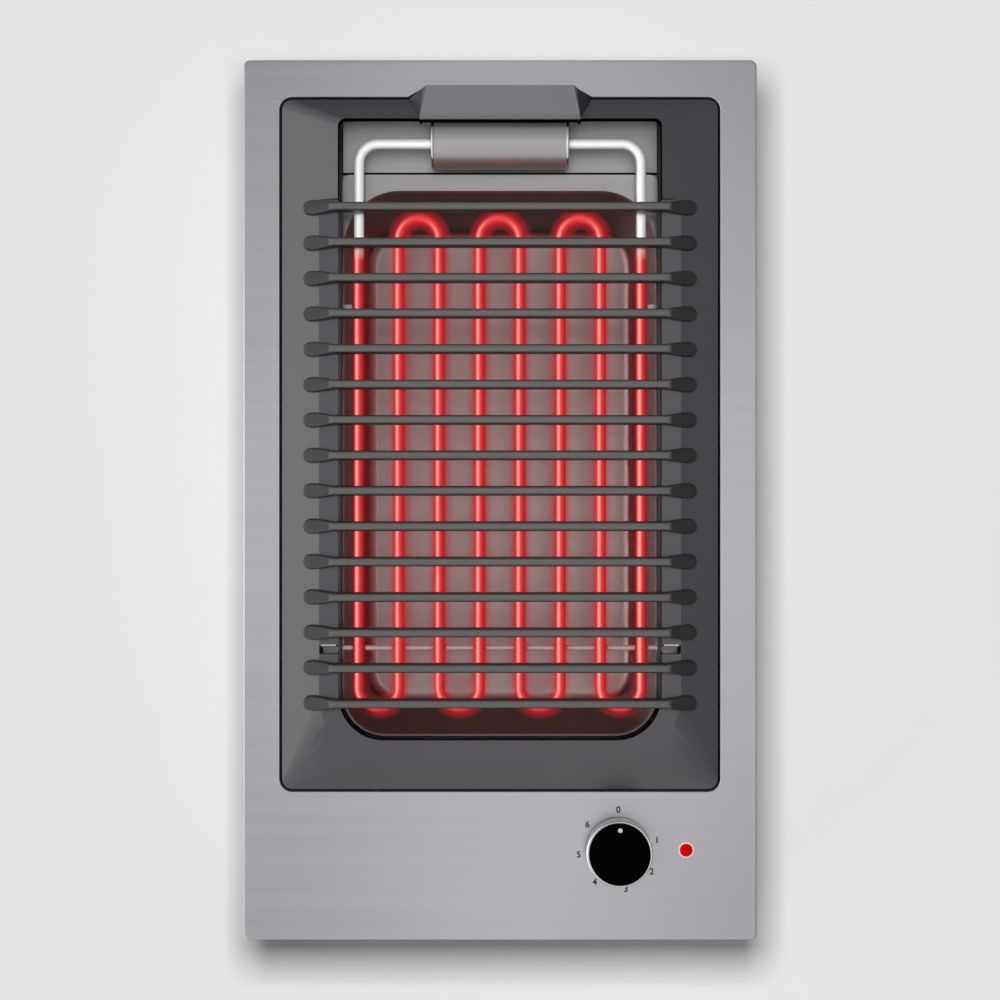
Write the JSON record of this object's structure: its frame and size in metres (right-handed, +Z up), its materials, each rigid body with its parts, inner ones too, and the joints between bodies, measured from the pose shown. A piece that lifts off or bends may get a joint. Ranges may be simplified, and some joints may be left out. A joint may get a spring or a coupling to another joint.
{
  "type": "built-in electric grill",
  "caption": "Built-in worktop grill: brushed steel plate, raised enamelled frame, a lift-out bar grid, a red-hot element that tilts up on a rear hinge, a drip tray and a dial with a pilot lamp.",
  "frame": {"origin": "centre of the underside of the base cover", "axes": "+X to the user's right, +Y from the dial at the front to the hinge at the rear, +Z up out of the worktop"},
  "size_m": [0.3, 0.514, 0.118],
  "materials": {
    "brushed_plate": "fine horizontal brushing",
    "seal": "closed foam",
    "gasket": "flat fibre sheet",
    "plated_steel": "zinc plated",
    "enamel": "satin grey enamel",
    "plain_steel": "plain",
    "wool": "loose fibre",
    "plated_sheet": "galvanised",
    "ceramic": "glazed",
    "regulator_case": "moulded",
    "lamp_body": "moulded",
    "lamp_red": "clear red",
    "lamp_ring": "pale ring",
    "black_plastic": "moulded",
    "block_plastic": "moulded",
    "brass_part": "turned",
    "lead_sleeve": "woven glass sleeve",
    "knob_black": "satin",
    "knob_metal": "turned",
    "pointer_white": "flush dot",
    "grid_iron": "grey satin",
    "tray_steel": "grey enamel",
    "element_sheath": "sheath, red where it is hot",
    "polished_steel": "polished",
    "clamp_iron": "plated bar"
  },
  "bodies": {
    "housing": {"top_plate": "brushed_plate", "worktop_seal": "seal", "plate_studs": "plated_steel", "stud_nuts": "plated_steel", "frame_gasket": "gasket", "pan_frame": "enamel", "rod_cradles": "plain_steel", "liner": "plain_steel", "insulation": "wool", "heat_shield": "plated_sheet", "lead_bush": "ceramic", "casing": "plated_sheet", "base_cover": "plated_sheet", "base_screws": "plated_steel", "wiring_divider": "plated_sheet", "hinge_shelf": "plain_steel", "hinge_post": "plain_steel", "foot_screws": "plated_steel", "hinge_hub": "plain_steel", "regulator_body": "regulator_case", "regulator_screws": "plated_steel", "shaft_seal": "gasket", "lamp_holder": "lamp_body", "lamp_lens": "lamp_red", "lamp_bezel": "lamp_ring", "lamp_clip": "plated_steel", "inlet_pocket": "plated_sheet", "cable_gland": "black_plastic", "gland_nut": "black_plastic", "terminal_block": "block_plastic", "earth_stud": "brass_part", "element_leads": "lead_sleeve", "supply_leads": "lead_sleeve", "lamp_leads": "lead_sleeve", "clamp_brackets": "plated_steel", "clamp_screws": "plated_steel"},
    "knob": {"knob_cap": "knob_black", "knob_ring": "knob_metal", "knob_pointer": "pointer_white", "knob_clip": "plated_steel", "knob_shaft": "plated_steel"},
    "grid": {"grill_grid": "grid_iron"},
    "tray": {"drip_tray": "tray_steel"},
    "element": {"heating_element": "element_sheath", "hinge_barrel": "polished_steel", "barrel_caps": "polished_steel", "pivot_bushes": "brass_part", "element_terminals": "ceramic", "support_rod": "plain_steel", "spacer_strip": "plain_steel", "element_clips": "plain_steel"},
    "clamp_1": {"worktop_clamp_1": "clamp_iron"},
    "clamp_2": {"worktop_clamp_2": "clamp_iron"},
    "clamp_3": {"worktop_clamp_3": "clamp_iron"},
    "clamp_4": {"worktop_clamp_4": "clamp_iron"}
  },
  "joints": [
    {"name": "knob_turn", "type": "hinge", "parent": "housing", "child": "knob", "pos_m": [0.0691, -0.2044, 0.1], "axis": [0, 0, 1], "range_deg": [-309.4, 0]},
    {"name": "grid_lift", "type": "slide", "parent": "housing", "child": "grid", "axis": [0, 0, 1], "range_m": [0, 0.51]},
    {"name": "element_tilt", "type": "hinge", "parent": "housing", "child": "element", "pos_m": [0, 0.2086, 0.096], "axis": [-1, 0, 0], "range_deg": [0, 90]},
    {"name": "tray_lift", "type": "slide", "parent": "housing", "child": "tray", "axis": [0, 0, 1], "range_m": [0, 0.036]},
    {"name": "clamp_1_swing", "type": "hinge", "parent": "housing", "child": "clamp_1", "pos_m": [0.131, 0.1835, 0.047], "axis": [0, 0, 1], "range_deg": [0, 90]},
    {"name": "clamp_2_swing", "type": "hinge", "parent": "housing", "child": "clamp_2", "pos_m": [-0.131, 0.1835, 0.047], "axis": [0, 0, -1], "range_deg": [0, 90]},
    {"name": "clamp_3_swing", "type": "hinge", "parent": "housing", "child": "clamp_3", "pos_m": [0.131, -0.1835, 0.047], "axis": [0, 0, 1], "range_deg": [0, 90]},
    {"name": "clamp_4_swing", "type": "hinge", "parent": "housing", "child": "clamp_4", "pos_m": [-0.131, -0.1835, 0.047], "axis": [0, 0, -1], "range_deg": [0, 90]}
  ],
  "couplings": [
    {"joint": "element_tilt", "follows": "grid_lift", "rad_per_m": 3.0799},
    {"joint": "tray_lift", "follows": "grid_lift", "ratio": 0.0705}
  ]
}
